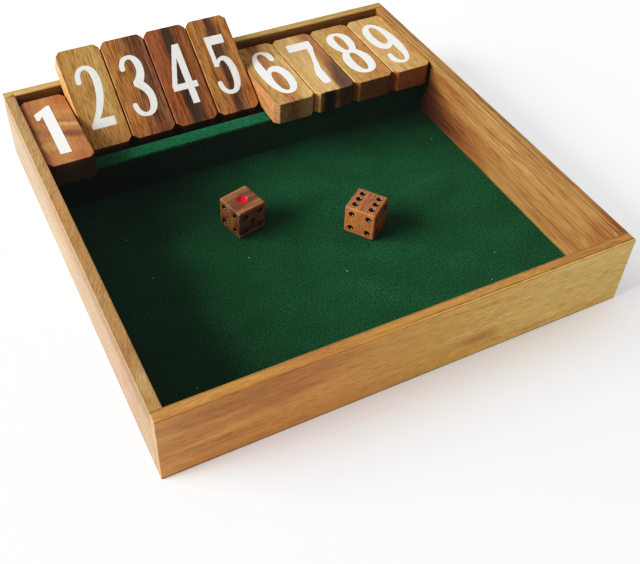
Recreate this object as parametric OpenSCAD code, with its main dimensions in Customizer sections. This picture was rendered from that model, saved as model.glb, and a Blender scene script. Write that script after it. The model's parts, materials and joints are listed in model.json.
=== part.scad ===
// Shut the box game: a square wooden tray, nine number tiles that turn on one rod, and two dice.
// Millimetres. The origin is the middle of the tray's base, +Z is up and +Y points to the tiles.

/* [Tray] */
// Width of the tray over its side walls
tray_w = 250; // [220:5:300]
// Depth of the tray over its front and back walls
tray_d = 250; // [220:5:300]
// Height of the walls
wall_h = 42; // [38:1:50]
// Thickness of the wall boards
wall_t = 6; // [5:0.5:8]
// Flat sanded on the walls' exposed edges
wall_ease = 0.5; // [0.3:0.1:0.8]

/* [Floor] */
// Thickness of the floor board, which lies flush with the walls' lower edges
floor_t = 2.5; // [2:0.5:4]
// How far the floor board reaches into the walls' rebates
floor_let_in = 3; // [2:0.5:4]
// Thickness of the felt on the floor and on the rail
felt_t = 0.8; // [0.5:0.1:1.5]

/* [Rail] */
// Height of the wooden rail above the floor board
rail_h = 22.7; // [20:0.1:27]
// Width of the wooden rail, front to back
rail_w = 8.2; // [6:0.2:12]
// Gap between the rail and the tiles' swinging tails
rail_clear = 2.9; // [1:0.1:5]

/* [Number tiles] */
// Length of a tile
tile_l = 63; // [58:1:75]
// Thickness of a tile
tile_t = 14; // [11:0.5:17]
// Gap between neighbouring tiles
tile_gap = 0.6; // [0.4:0.1:1.5]
// Corners cut off a tile, seen from above
tile_chamfer = 2.8; // [1.5:0.1:5]
// Flat sanded on a tile's edges
tile_ease = 0.6; // [0.3:0.1:1.2]
// From the rod's middle to a tile's short end, its tail
tile_tail = 21.5; // [18:0.5:24]
// Gap between the back wall and the tiles' swinging tails
back_clear = 4.4; // [3:0.1:7]
// Gap between an open tile and the rail's felt
tile_seat = 0.3; // [0.1:0.1:0.5]
// Gap between a leaning tile and the back wall's upper edge
lean_seat = 0.2; // [0.1:0.1:0.5]

/* [Rod] */
// Diameter of the rod
rod_d = 4; // [3:0.5:6]
// Radial running gap of a tile on the rod
rod_clear = 0.08; // [0.02:0.01:0.1]
// Depth of the rod's blind holes in the side walls
rod_let_in = 3.5; // [2:0.5:4]
// Radial and end gap of the rod in its blind holes
rod_fit = 0.05; // [0.02:0.01:0.1]

/* [Dice] */
// Edge of a die
die_edge = 18; // [14:0.5:20]
// Radius of a die's edges
die_round = 1; // [0.4:0.1:1.6]
// Width of a pip
pip_d = 3.4; // [2.4:0.1:3.4]
// Depth of a pip
pip_depth = 1.1; // [0.5:0.1:1.4]
// Width of the single pip on the one
big_pip_d = 6.4; // [4:0.1:8]
// Depth of the single pip
big_pip_depth = 1.4; // [0.8:0.1:1.8]
// From a face's edge to the middle of its outer pips
pip_margin = 4.1; // [3:0.1:4.4]
// Gap between a die and the floor's felt
die_seat = 0.1; // [0.05:0.05:0.3]
// Place of the left die, left to right
left_die_x = -28.5; // [-60:0.5:-20]
// Place of the left die, front to back
left_die_y = 4.5; // [-60:0.5:10]
// Turn of the left die
left_die_turn = 14; // [0:1:90]
// Place of the right die, left to right
right_die_x = 32; // [20:0.5:60]
// Place of the right die, front to back
right_die_y = -25.5; // [-60:0.5:10]
// Turn of the right die
right_die_turn = 36; // [0:1:90]

/* [Hidden] */

$fn = 48;
// Overshoot of a cut past the face that it opens
cut = 1;

// The space between the walls
inner_w = tray_w - 2 * wall_t;
inner_d = tray_d - 2 * wall_t;
back_y = inner_d / 2;
felt_top = floor_t + felt_t;

// A tile's tail swings in a circle round the rod, which sets the rod's place and the rail's
tile_count = 9;
tile_pitch = inner_w / tile_count;
tile_w = tile_pitch - tile_gap;
tail_swing = norm([tile_tail, tile_t / 2]);
rod_y = back_y - back_clear - tail_swing;
rail_back_y = rod_y - tail_swing - rail_clear;
rail_front_y = rail_back_y - rail_w;
rail_top = floor_t + rail_h;

// An open tile lies level on the rail
rod_z = rail_top + felt_t + tile_seat + tile_t / 2;

// A tile that is turned over leans on the sanded upper edge of the back wall
lean_reach = back_y + wall_ease - rod_y;
lean_rise = wall_h - rod_z;
lean_angle = asin((tile_t / 2 + lean_seat) / norm([lean_reach, lean_rise])) + atan2(lean_rise, lean_reach);
turned_over = 180 - lean_angle;
echo(turned_over = turned_over, rod_y = rod_y, rod_z = rod_z, tile_w = tile_w, rail_front_y = rail_front_y);

// Tiles that are turned over, and each tile's wood, left to right
TILE_TURNED = [false, true, true, true, true, false, false, false, false];
TILE_WOOD = [
    "sienna", "peru", "saddlebrown", "saddlebrown", "sienna",
    "peru", "peru", "chocolate", "burlywood"
];

// The middles of a face's pips, in steps of the pip offset, for each number of pips
PIPS = [
    [[0, 0]],
    [[-1, -1], [1, 1]],
    [[-1, 1], [0, 0], [1, -1]],
    [for (u = [-1, 1], v = [-1, 1]) [u, v]],
    [for (u = [-1, 1], v = [-1, 1]) [u, v], [0, 0]],
    [for (u = [-1, 0, 1], v = [-1, 1]) [u, v]]
];
// Turns that bring the upper face of a die to the side that carries 1 to 6; opposite sides add up to 7
PIP_SIDES = [[0, 0, 0], [-90, 0, 0], [0, 90, 0], [0, -90, 0], [90, 0, 0], [180, 0, 0]];

// Cutter that takes a small flat off an edge along X, which passes through the origin
module edge_flat(length, flat) {
    rotate([45, 0, 0])
        cube([length, flat * sqrt(2), flat * sqrt(2)], center = true);
}

// Front wall: runs the full width, and covers the ends of the side walls
module cross_wall() {
    difference() {
        translate([-tray_w / 2, -tray_d / 2, 0])
            cube([tray_w, wall_t, wall_h]);
        // Rebate for the floor board, stopped short of the wall's ends
        translate([-inner_w / 2 - floor_let_in, -inner_d / 2 - floor_let_in, -cut])
            cube([inner_w + 2 * floor_let_in, floor_let_in + cut, floor_t + cut]);
        // Outer upper edge over the full width, and the inner one between the side walls
        translate([0, -tray_d / 2, wall_h])
            edge_flat(tray_w + 2 * cut, wall_ease);
        translate([0, -inner_d / 2, wall_h])
            edge_flat(inner_w, wall_ease);
        // Upper and upright edges of the two ends
        for (side = [-1, 1]) {
            translate([side * tray_w / 2, -tray_d / 2, wall_h])
                rotate([0, 0, 90])
                    edge_flat(2 * wall_t + 2 * cut, wall_ease);
            translate([side * tray_w / 2, -tray_d / 2, wall_h / 2])
                rotate([0, 90, 0])
                    edge_flat(wall_h + 2 * cut, wall_ease);
        }
    }
}

// Left wall: stands between the front and back walls, and holds the rod's end in a blind hole
module side_wall() {
    difference() {
        translate([-tray_w / 2, -inner_d / 2, 0])
            cube([wall_t, inner_d, wall_h]);
        translate([-inner_w / 2 - floor_let_in, -inner_d / 2 - cut, -cut])
            cube([floor_let_in + cut, inner_d + 2 * cut, floor_t + cut]);
        for (x = [-tray_w / 2, -inner_w / 2])
            translate([x, 0, wall_h])
                rotate([0, 0, 90])
                    edge_flat(inner_d + 2 * cut, wall_ease);
        translate([-inner_w / 2 - rod_let_in, rod_y, rod_z])
            rotate([0, 90, 0])
                cylinder(h = rod_let_in + cut, d = rod_d + 2 * rod_fit);
    }
}

module front_wall() {
    color("peru") cross_wall();
}

module back_wall() {
    color("peru") mirror([0, 1, 0]) cross_wall();
}

module left_wall() {
    color("burlywood") side_wall();
}

module right_wall() {
    color("burlywood") mirror([1, 0, 0]) side_wall();
}

// Thin board let into the rebates, flush with the walls' lower edges
module floor_board() {
    color("tan")
        translate([-inner_w / 2 - floor_let_in, -inner_d / 2 - floor_let_in, 0])
            cube([inner_w + 2 * floor_let_in, inner_d + 2 * floor_let_in, floor_t]);
}

// Felt of the playing floor, glued down from the front wall to the rail
module floor_felt() {
    color("darkgreen")
        translate([-inner_w / 2, -inner_d / 2, floor_t])
            cube([inner_w, rail_front_y - felt_t + inner_d / 2, felt_t]);
}

// Wooden strip that the open tiles rest on
module tile_rail() {
    color("tan")
        translate([-inner_w / 2, rail_front_y, floor_t])
            cube([inner_w, rail_w, rail_h]);
}

// Strip of felt that covers the rail's front, bends round its upper edge and covers its top
module rail_felt() {
    color("seagreen")
        rotate([90, 0, 90])
            linear_extrude(inner_w, center = true) {
                translate([rail_front_y - felt_t, floor_t])
                    square([felt_t, rail_h]);
                translate([rail_front_y, rail_top])
                    square([rail_w, felt_t]);
                intersection() {
                    translate([rail_front_y, rail_top])
                        circle(r = felt_t);
                    translate([rail_front_y - felt_t, rail_top])
                        square(felt_t);
                }
            }
}

// Steel rod that the tiles turn on, held in the blind holes of the side walls
module tile_rod() {
    color("silver")
        translate([0, rod_y, rod_z])
            rotate([0, 90, 0])
                cylinder(h = inner_w + 2 * (rod_let_in - rod_fit), d = rod_d, center = true);
}

// Rectangle with its corners cut off at 45 degrees
module cut_corner_square(w, d, flat) {
    polygon([
        for (side = [[1, 1], [-1, 1], [-1, -1], [1, -1]])
            for (end = side[0] * side[1] > 0 ? [0, 1] : [1, 0])
                [side[0] * (w / 2 - flat * end), side[1] * (d / 2 - flat * (1 - end))]
    ]);
}

// Block with a small flat along each of its twelve edges
module eased_block(w, d, h, flat) {
    intersection() {
        linear_extrude(h, center = true)
            cut_corner_square(w, d, flat);
        rotate([90, 0, 0])
            linear_extrude(d, center = true)
                cut_corner_square(w, h, flat);
        rotate([90, 0, 90])
            linear_extrude(w, center = true)
                cut_corner_square(d, h, flat);
    }
}

// Tile about its rod: open, level, long end towards the player. The second block, set cornerwise,
// cuts the tile's four corners and sands their edges as well.
module tile_body() {
    cornerwise = (tile_w + tile_l - 2 * tile_chamfer) / sqrt(2);
    difference() {
        translate([0, tile_tail - tile_l / 2, 0])
            intersection() {
                eased_block(tile_w, tile_l, tile_t, tile_ease);
                rotate([0, 0, 45])
                    eased_block(cornerwise, cornerwise, tile_t, tile_ease);
            }
        rotate([0, 90, 0])
            cylinder(h = tile_w + 2 * cut, d = rod_d + 2 * rod_clear, center = true);
    }
}

// Tile at its place on the rod, numbered from 1 at the left
module number_tile(number) {
    place = (number - (tile_count + 1) / 2) * tile_pitch;
    color(TILE_WOOD[number - 1])
        translate([place, rod_y, rod_z])
            rotate([TILE_TURNED[number - 1] ? -turned_over : 0, 0, 0])
                tile_body();
}

// Square with round corners
module round_square(edge, r) {
    square([edge, edge - 2 * r], center = true);
    square([edge - 2 * r, edge], center = true);
    for (u = [-1, 1], v = [-1, 1])
        translate([u * (edge / 2 - r), v * (edge / 2 - r)])
            circle(r = r);
}

// Shallow round hollow of the given width and depth, in a face that lies in the XY plane
module pip(d, depth) {
    r = (d * d / 4 + depth * depth) / (2 * depth);
    translate([0, 0, r - depth])
        sphere(r = r);
}

// Die about its middle, with the one on top
module die() {
    offset_step = die_edge / 2 - pip_margin;
    difference() {
        intersection_for (turn = [[0, 0, 0], [90, 0, 0], [0, 90, 0]])
            rotate(turn)
                linear_extrude(die_edge, center = true)
                    round_square(die_edge, die_round);
        for (value = [1:6])
            rotate(PIP_SIDES[value - 1])
                for (place = PIPS[value - 1])
                    translate([place[0] * offset_step, place[1] * offset_step, die_edge / 2])
                        pip(value == 1 ? big_pip_d : pip_d, value == 1 ? big_pip_depth : pip_depth);
    }
}

module left_die() {
    color("saddlebrown")
        translate([left_die_x, left_die_y, felt_top + die_seat + die_edge / 2])
            rotate([0, 0, left_die_turn])
                die();
}

// The right die lies the other way up, with the six on top
module right_die() {
    color("sienna")
        translate([right_die_x, right_die_y, felt_top + die_seat + die_edge / 2])
            rotate([0, 0, right_die_turn])
                rotate([180, 0, 0])
                    die();
}

front_wall();
back_wall();
left_wall();
right_wall();
floor_board();
floor_felt();
tile_rail();
rail_felt();
tile_rod();
number_tile(1);  // tile_1
number_tile(2);  // tile_2
number_tile(3);  // tile_3
number_tile(4);  // tile_4
number_tile(5);  // tile_5
number_tile(6);  // tile_6
number_tile(7);  // tile_7
number_tile(8);  // tile_8
number_tile(9);  // tile_9
left_die();
right_die();
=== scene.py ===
# %% [markdown]
# # A shut the box game, dressed in wood, felt and paint
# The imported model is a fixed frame: every piece is in it, at its real size and place, in metres, with +Z up
# and +Y towards the number tiles. This script dresses that frame. A board could simply be given a wood
# colour, but a real board also has softened edges that catch the light, so the pieces that show are
# modelled again in the same places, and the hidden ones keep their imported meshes.

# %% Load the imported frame
import json
import math

import bmesh
import bpy
from mathutils import Matrix, Vector


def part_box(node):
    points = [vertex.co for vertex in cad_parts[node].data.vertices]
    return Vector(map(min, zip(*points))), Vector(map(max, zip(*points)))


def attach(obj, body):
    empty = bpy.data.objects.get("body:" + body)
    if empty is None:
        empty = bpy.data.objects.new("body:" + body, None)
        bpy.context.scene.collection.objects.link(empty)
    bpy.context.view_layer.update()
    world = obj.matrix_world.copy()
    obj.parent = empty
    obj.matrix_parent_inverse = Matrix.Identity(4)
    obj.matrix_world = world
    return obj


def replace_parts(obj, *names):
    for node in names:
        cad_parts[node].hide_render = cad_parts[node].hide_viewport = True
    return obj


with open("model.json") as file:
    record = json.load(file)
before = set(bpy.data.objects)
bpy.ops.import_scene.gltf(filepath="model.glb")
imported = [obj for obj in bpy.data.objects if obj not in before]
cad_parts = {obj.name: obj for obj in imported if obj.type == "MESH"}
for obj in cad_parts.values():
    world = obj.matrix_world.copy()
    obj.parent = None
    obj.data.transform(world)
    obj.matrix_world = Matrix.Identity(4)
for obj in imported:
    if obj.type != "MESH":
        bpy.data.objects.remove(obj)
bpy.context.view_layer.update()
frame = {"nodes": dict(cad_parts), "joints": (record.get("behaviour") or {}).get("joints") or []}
MM = 0.001

# %% [markdown]
# ## Sizes from the frame
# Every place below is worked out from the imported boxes, so that the dressed pieces cannot drift away from
# the model. The rod gives the axis that the tiles turn on, tile 1 lies open and gives the size of a tile,
# and the joints say how far a tile turns and which tiles start turned over.

# %% Read the sizes from the frame
def box_middle(node):
    """The middle of a node's box."""
    low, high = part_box(node)
    return (low + high) / 2


def box_size(node):
    """The width, depth and height of a node's box."""
    low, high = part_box(node)
    return high - low


rod_axis = box_middle("tile_rod")
rod_radius = box_size("tile_rod").z / 2
tile_w, tile_l, tile_t = box_size("tile_1")
tile_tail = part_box("tile_1")[1].y - rod_axis.y
tile_numbers = range(1, 10)
tile_joints = {joint["child"]: joint for joint in frame["joints"] if joint["type"] == "hinge"}
turned_over = math.radians(max(tile_joints["tile_1"]["range_deg"]))
starts_turned = {n: tile_joints[f"tile_{n}"]["range_deg"][0] < 0 for n in tile_numbers}
inner_w = box_size("floor_felt").x
print("tile in mm:", [round(side / MM, 2) for side in (tile_w, tile_l, tile_t)])
print("from the rod to a tile's tail in mm:", round(tile_tail / MM, 2))
print("turned over at the start:", [n for n in tile_numbers if starts_turned[n]])

# %% [markdown]
# ## The camera
# The picture is taken from the front left, well above the table. The camera could be aimed with a Track
# To constraint, but three turns say the same thing in plain numbers: which way it looks, how far it looks
# down, and how far it is rolled. The lens shift moves the picture in its frame without turning the camera.

# %% Place the camera
camera_place = Vector((-176.6, -338.5, 352.2)) * MM
camera_heading, camera_down, camera_roll = (math.radians(a) for a in (27.39, 44.01, 1.64))
bpy.ops.object.select_all(action="DESELECT")
bpy.ops.object.camera_add()
camera = bpy.context.active_object
camera.matrix_world = (
    Matrix.Translation(camera_place)
    @ Matrix.Rotation(-camera_heading, 4, "Z")
    @ Matrix.Rotation(math.pi / 2 - camera_down, 4, "X")
    @ Matrix.Rotation(camera_roll, 4, "Z")
)
camera.data.sensor_width = 36
camera.data.lens = 51.9
camera.data.shift_x = 0.0469
camera.data.shift_y = -0.0656
bpy.context.scene.camera = camera
print("camera looks along", [round(c, 3) for c in camera.matrix_world.to_3x3() @ Vector((0, 0, -1))])

# %% [markdown]
# ## Modelling by hand, in code
# Each piece starts as a block and is worked on in edit mode, as at the screen. There an edge is picked with
# a click. Here it is picked by a question about its middle and its direction, which still finds the right
# edge when a size changes. The bevel then softens it, and weighted normals keep the large faces flat beside
# the narrow bevels.

# %% Start, pick, soften and cut
def alone(piece):
    """Makes the piece the only selected object, and the active one."""
    bpy.ops.object.select_all(action="DESELECT")
    piece.select_set(True)
    bpy.context.view_layer.objects.active = piece


def newest(name):
    """Names the object that an operator has just added, with its place applied to its mesh."""
    piece = bpy.context.active_object
    piece.name = name
    piece.data.name = name
    bpy.ops.object.transform_apply(location=True, rotation=True, scale=True)
    return piece


def block(name, low, high):
    """A block between two corners."""
    low, high = Vector(low), Vector(high)
    bpy.ops.object.select_all(action="DESELECT")
    bpy.ops.mesh.primitive_cube_add(size=1, location=(low + high) / 2, scale=high - low)
    return newest(name)


def edit(piece, kind):
    """Opens the piece in edit mode with nothing selected; kind is VERT, EDGE or FACE."""
    alone(piece)
    bpy.ops.object.mode_set(mode="EDIT")
    bpy.ops.mesh.select_mode(type=kind)
    bpy.ops.mesh.select_all(action="DESELECT")
    return bmesh.from_edit_mesh(piece.data)


def close(piece):
    """Leaves edit mode."""
    bpy.ops.object.mode_set(mode="OBJECT")
    return piece


def soften(piece, width, segments, wanted):
    """Bevels the edges for which wanted(middle, direction) is true."""
    mesh = edit(piece, "EDGE")
    for edge in mesh.edges:
        start, end = (corner.co for corner in edge.verts)
        edge.select_set(wanted((start + end) / 2, (end - start).normalized()))
    bmesh.update_edit_mesh(piece.data)
    bpy.ops.mesh.bevel(offset=width, segments=segments, affect="EDGES")
    return close(piece)


def split_at(piece, place, normal):
    """Cuts a line round the piece where a plane passes, and keeps both sides."""
    edit(piece, "EDGE")
    bpy.ops.mesh.select_all(action="SELECT")
    bpy.ops.mesh.bisect(plane_co=place, plane_no=normal)
    return close(piece)


def cut_away(piece, cutter):
    """Takes the cutter's shape out of the piece, and throws the cutter away."""
    alone(piece)
    cut = piece.modifiers.new("cut", "BOOLEAN")
    cut.object = cutter
    cut.operation = "DIFFERENCE"
    cut.solver = "EXACT"
    bpy.ops.object.modifier_apply(modifier=cut.name)
    bpy.data.objects.remove(cutter)
    return piece


def copy_of(piece, name):
    """A copy with a mesh of its own."""
    alone(piece)
    bpy.ops.object.duplicate()
    made = bpy.context.active_object
    made.name = name
    made.data.name = name
    return made


def put(piece, place):
    """Moves and turns the piece's mesh by a matrix, and leaves its object at the origin."""
    alone(piece)
    piece.matrix_world = place
    bpy.ops.object.transform_apply(location=True, rotation=True, scale=True)
    return piece


def smooth(piece):
    """Shades bevels as round and large faces as flat."""
    alone(piece)
    bpy.ops.object.shade_smooth_by_angle(angle=math.radians(40))
    weighted = piece.modifiers.new("weighted", "WEIGHTED_NORMAL")
    weighted.keep_sharp = True
    bpy.ops.object.modifier_apply(modifier=weighted.name)
    return piece


print("modelling helpers ready")

# %% [markdown]
# ## The shader language
# A wood is a long sum of noises, and wiring it by hand hides the sum. Here a small class wraps a socket, so
# that `tone * 0.5 + fibre` builds the Math nodes by itself. Colours would turn grey in a Math node, so they
# go through Mix.

# %% Wrap shader sockets for use in expressions
# The Mix node has sockets of the same names for numbers, vectors and colours. These are the numbers of the
# ones that are used for colours.
MIX_SHARE, MIX_FIRST, MIX_SECOND, MIX_RESULT = 0, 6, 7, 2


class Wire:
    """A value in a material. Plus, minus and times on it add the Math nodes."""

    def __init__(self, finish, socket):
        self.finish = finish
        self.socket = socket

    def math(self, operation, first, second):
        return self.finish.node("ShaderNodeMath", {"operation": operation}, {0: first, 1: second})

    def __add__(self, other):
        return self.math("ADD", self, other)

    def __radd__(self, other):
        return self.math("ADD", other, self)

    def __sub__(self, other):
        return self.math("SUBTRACT", self, other)

    def __rsub__(self, other):
        return self.math("SUBTRACT", other, self)

    def __mul__(self, other):
        return self.math("MULTIPLY", self, other)

    def __rmul__(self, other):
        return self.math("MULTIPLY", other, self)

    def step(self, start, end):
        """Goes smoothly from 0 at start to 1 at end, and start may be the larger of the two."""
        ends = {"Value": self, "From Min": start, "From Max": end}
        return self.finish.node("ShaderNodeMapRange", {"interpolation_type": "SMOOTHSTEP"}, ends)


def solid(colour):
    """A colour with its alpha, unless it is a wire already."""
    return colour if isinstance(colour, Wire) else (*colour, 1)


class Finish:
    """A material. Each method adds one node and gives back the wire that leaves it."""

    def __init__(self, name):
        self.material = bpy.data.materials.new(name)
        self.material.use_nodes = True
        self.tree = self.material.node_tree
        self.surface = self.tree.nodes["Principled BSDF"]

    def node(self, kind, settings, sockets, output=0):
        made = self.tree.nodes.new(kind)
        for name, value in settings.items():
            setattr(made, name, value)
        for name, value in sockets.items():
            self.feed(made.inputs[name], value)
        return Wire(self, made.outputs[output])

    def feed(self, socket, value):
        if isinstance(value, Wire):
            self.tree.links.new(value.socket, socket)
        else:
            socket.default_value = value

    def set(self, **values):
        """Sets or links the surface's sockets. An underscore in a name stands for a space."""
        for name, value in values.items():
            self.feed(self.surface.inputs[name.replace("_", " ")], value)

    def attribute(self, name):
        """A number that the piece's own mesh carries."""
        return self.node("ShaderNodeAttribute", {"attribute_name": name}, {}, "Fac")

    def board(self):
        """Place in the board in mm: along the grain, across it, and through the board."""
        return self.node("ShaderNodeAttribute", {"attribute_name": "board"}, {}, "Vector")

    def object_place(self, turn=(0, 0, 0)):
        """Place in the whole part in mm, with its axes turned if need be."""
        place = self.node("ShaderNodeTexCoord", {}, {}, "Object")
        sockets = {"Vector": place, "Scale": (1 / MM, 1 / MM, 1 / MM), "Rotation": turn}
        return self.node("ShaderNodeMapping", {}, sockets)

    def moved(self, place, shift):
        """The same place in another part of the pattern."""
        return self.node("ShaderNodeVectorMath", {"operation": "ADD"}, {0: place, 1: shift})

    def stretched(self, place, *lengths):
        """A place counted in a length of its own along each axis, for a pattern that is longer than wide."""
        shares = [1 / length for length in lengths]
        return self.node("ShaderNodeVectorMath", {"operation": "MULTIPLY"}, {0: place, 1: shares})

    def distance(self, place, point):
        return self.node("ShaderNodeVectorMath", {"operation": "DISTANCE"}, {0: place, 1: point}, "Value")

    def split(self, place):
        """The three numbers of a place."""
        apart = self.node("ShaderNodeSeparateXYZ", {}, {0: place}).socket.node
        return [Wire(self, socket) for socket in apart.outputs]

    def joined(self, x, y, z):
        return self.node("ShaderNodeCombineXYZ", {}, {0: x, 1: y, 2: z})

    def noise(self, place, detail=2.0, roughness=0.5):
        """Cloudy noise round 0.5 that changes about once per unit of place."""
        sockets = {"Vector": place, "Scale": 1, "Detail": detail, "Roughness": roughness}
        return self.node("ShaderNodeTexNoise", {}, sockets, 0)

    def cells(self, place):
        """Distance to the nearest of many scattered points, about one to each unit of place."""
        return self.node("ShaderNodeTexVoronoi", {}, {"Vector": place, "Scale": 1}, "Distance")

    def mix(self, share, first, second):
        """Goes from the first colour to the second as share goes from 0 to 1."""
        sockets = {MIX_SHARE: share, MIX_FIRST: solid(first), MIX_SECOND: solid(second)}
        return self.node("ShaderNodeMix", {"data_type": "RGBA"}, sockets, MIX_RESULT)

    def tinted(self, colour, tint):
        """The colour times the tint, channel by channel."""
        settings = {"data_type": "RGBA", "blend_type": "MULTIPLY"}
        sockets = {MIX_SHARE: 1, MIX_FIRST: solid(colour), MIX_SECOND: solid(tint)}
        return self.node("ShaderNodeMix", settings, sockets, MIX_RESULT)

    def ramp(self, value, *stops):
        """A colour for each value. A stop is a value from 0 to 1 and its colour."""
        made = self.node("ShaderNodeValToRGB", {}, {0: value})
        elements = made.socket.node.color_ramp.elements
        for element, (position, colour) in zip(elements, (stops[0], stops[-1])):
            element.position = position
            element.color = solid(colour)
        for position, colour in stops[1:-1]:
            elements.new(position).color = solid(colour)
        return made

    def bump(self, height, depth):
        """A normal for a height from 0 to 1 that stands for a depth in metres."""
        return self.node("ShaderNodeBump", {}, {"Strength": 1, "Distance": depth, "Height": height})


def wear(piece, finish):
    """Gives the piece the finish."""
    piece.data.materials.clear()
    piece.data.materials.append(finish.material)
    return piece


print("shader language ready")

# %% [markdown]
# ## Wood
# The wood is a golden brown tropical hardwood: broad bands of colour, soft darker streaks, fine fibres, and
# open pores that show as short dark dashes along the grain and as dots on the end grain. A picture wrapped
# round a board stops at its edges. A solid pattern does not: it fills the whole board, so the faces meet as
# those of sawn wood do. Each board carries its own place, in millimetres, as an attribute of its mesh, and
# the pattern reads that.

# %% Mark a board with its grain
ALONG, SLANTED, SQUARE = 0.0, 0.5, 1.0
SLANTED_FROM = 0.40
SQUARE_FROM = 0.85


def end_share(normal, grain):
    """How a face cuts the fibres: along them, at a slant or square across."""
    cut = abs(normal.dot(grain))
    if cut < SLANTED_FROM:
        return ALONG
    return SLANTED if cut < SQUARE_FROM else SQUARE


def mark_board(piece, to_board, grain):
    """Stores each point's place in the board in mm, and how each face cuts the fibres."""
    mesh = piece.data
    places = mesh.attributes.new("board", "FLOAT_VECTOR", "POINT")
    places.data.foreach_set("vector", [c / MM for corner in mesh.vertices for c in to_board(corner.co)])
    ends = mesh.attributes.new("end_grain", "FLOAT", "FACE")
    ends.data.foreach_set("value", [end_share(face.normal, grain) for face in mesh.polygons])
    return piece


print("a board's attributes: board, end_grain")

# %% Lay streaks, fibres and pores over a base colour
UNTINTED = (1, 1, 1)
STREAK_TINT = (0.62, 0.52, 0.46)
LINE_TINT = (0.52, 0.42, 0.35)
FIBRE_TINT = (1.24, 1.26, 1.28)
PORE_TINT = (0.34, 0.25, 0.20)
END_TINT = (0.40, 0.32, 0.30)
PORE_SIZE = (8.0, 0.8, 0.8)


def fibre_place(finish, place, reach=1.8):
    """The same place, pushed sideways by slow noise, so that the fibres are not ruled lines."""
    along, across, through = finish.split(place)
    sideways = (finish.noise(finish.stretched(place, 45, 14, 14)) - 0.5) * reach
    return finish.joined(along, across + sideways, through + sideways)


def pore_mask(finish, fibres):
    """1 inside an open pore and 0 beside it. The pores crowd together in some places."""
    crowding = finish.noise(finish.stretched(fibres, 30, 5, 5)).step(0.35, 0.70) * 0.16
    distance = finish.cells(finish.stretched(fibres, *PORE_SIZE))
    return (distance - crowding).step(0.26, 0.12)


def lay_grain(finish, place, base, streaks=0.5, lines=0.5, pores=0.6, cuts=(END_TINT, END_TINT),
              roughness=0.5, reach=1.8):
    """Works grain over the base colour, and gives the surface its thin lacquer.

    The cuts are two tints: of the faces square across the fibres, and of those at a slant to them."""
    square, slant = cuts
    fibres = fibre_place(finish, place, reach)
    streak = finish.noise(finish.stretched(fibres, 60, 2.6, 4), 3).step(0.48, 0.70) * streaks
    line = finish.noise(finish.stretched(fibres, 16, 0.8, 0.8), 2, 0.6).step(0.46, 0.66) * lines
    fibre = finish.noise(finish.stretched(fibres, 6, 0.4, 0.4), 2)
    pore = pore_mask(finish, fibres)
    colour = finish.mix(streak, base, finish.tinted(base, STREAK_TINT))
    colour = finish.mix(line, colour, finish.tinted(colour, LINE_TINT))
    colour = finish.mix(fibre.step(0.42, 0.64), colour, finish.tinted(colour, FIBRE_TINT))
    colour = finish.mix(pore * pores, colour, finish.tinted(base, PORE_TINT))
    cut = finish.attribute("end_grain")
    colour = finish.tinted(colour, finish.ramp(cut, (ALONG, UNTINTED), (SLANTED, slant), (SQUARE, square)))
    finish.set(Base_Color=colour, Roughness=fibre * 0.12 + pore * 0.2 + roughness, Specular_IOR_Level=0.3)
    finish.set(Normal=finish.bump(fibre * 0.3 - line * 0.4 - pore, 0.06 * MM))
    return finish


def patched(finish, base, place, wander, patches):
    """Lays soft patches of other colours over a base.

    A patch is its middle across and along the board, its half width and half length, how much it slopes, its
    colour and its strength."""
    along, across = finish.split(place)[:2]
    for x, y, half_w, half_l, slope, colour, strength in patches:
        sloped = finish.joined((along - (across - x) * slope) * (1 / half_l), across * (1 / half_w), 0)
        off_middle = finish.distance(sloped, (y / half_l, x / half_w, 0)) + wander
        base = finish.mix(off_middle.step(1.1, 0.3) * strength, base, colour)
    return base


print("the grain's pores lie this far apart, in mm along, across and through:", PORE_SIZE)

# %% [markdown]
# ## The walls
# Four boards make the tray. The front and back boards run the full width and cover the ends of the side
# boards, so their end grain shows at the corners. Each is modelled as a block with its edges softened. The
# rebate under each board, which the floor board lies in, and the blind holes for the rod are cut out of the
# block, as a router and a drill would. The edge between two boards stays sharp, because they were sanded
# flush after they were glued.

# %% Model the four walls
WALL_SOFT = 0.35 * MM
HOLE_PLAY = 0.05 * MM
CLEAR = 1 * MM
floor_low, floor_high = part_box("floor_board")
felt_low, felt_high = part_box("floor_felt")


def rod_hole(name, play, length):
    """A cylinder round the rod's axis, which cuts a hole for the rod with some play."""
    bpy.ops.object.select_all(action="DESELECT")
    bpy.ops.mesh.primitive_cylinder_add(
        vertices=48, radius=rod_radius + play, depth=length, location=rod_axis, rotation=(0, math.pi / 2, 0)
    )
    return newest(name)


def wall(node):
    """One wall board, softened along the edges that show."""
    low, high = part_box(node)
    piece = block(node + "_board", low, high)
    runs_across = high.x - low.x > high.y - low.y
    inside = min((low.y, high.y) if runs_across else (low.x, high.x), key=abs)
    if runs_across:
        for side in (-1, 1):
            split_at(piece, (side * inner_w / 2, 0, 0), (1, 0, 0))

    def shows(middle, direction):
        along = abs(direction.x if runs_across else direction.y) > 0.9
        inner = abs((middle.y if runs_across else middle.x) - inside) < MM / 10
        upper = abs(middle.z - high.z) < MM / 10
        over_joint = abs(middle.x) > inner_w / 2
        if along:
            return upper and not (inner and over_joint) or middle.z < MM / 10 and not inner
        return runs_across and over_joint and not inner

    soften(piece, WALL_SOFT, 3, shows)
    cut_away(piece, block("rebate", floor_low - Vector((0, 0, CLEAR)), floor_high))
    if not runs_across:
        cut_away(piece, rod_hole("rod_end", HOLE_PLAY, box_size("tile_rod").x + 2 * HOLE_PLAY))
    return smooth(piece)


wall_h = box_size("front_wall").z
walls = {node: wall(node) for node in ("front_wall", "back_wall", "left_wall", "right_wall")}
print({name: len(piece.data.polygons) for name, piece in walls.items()})

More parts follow.
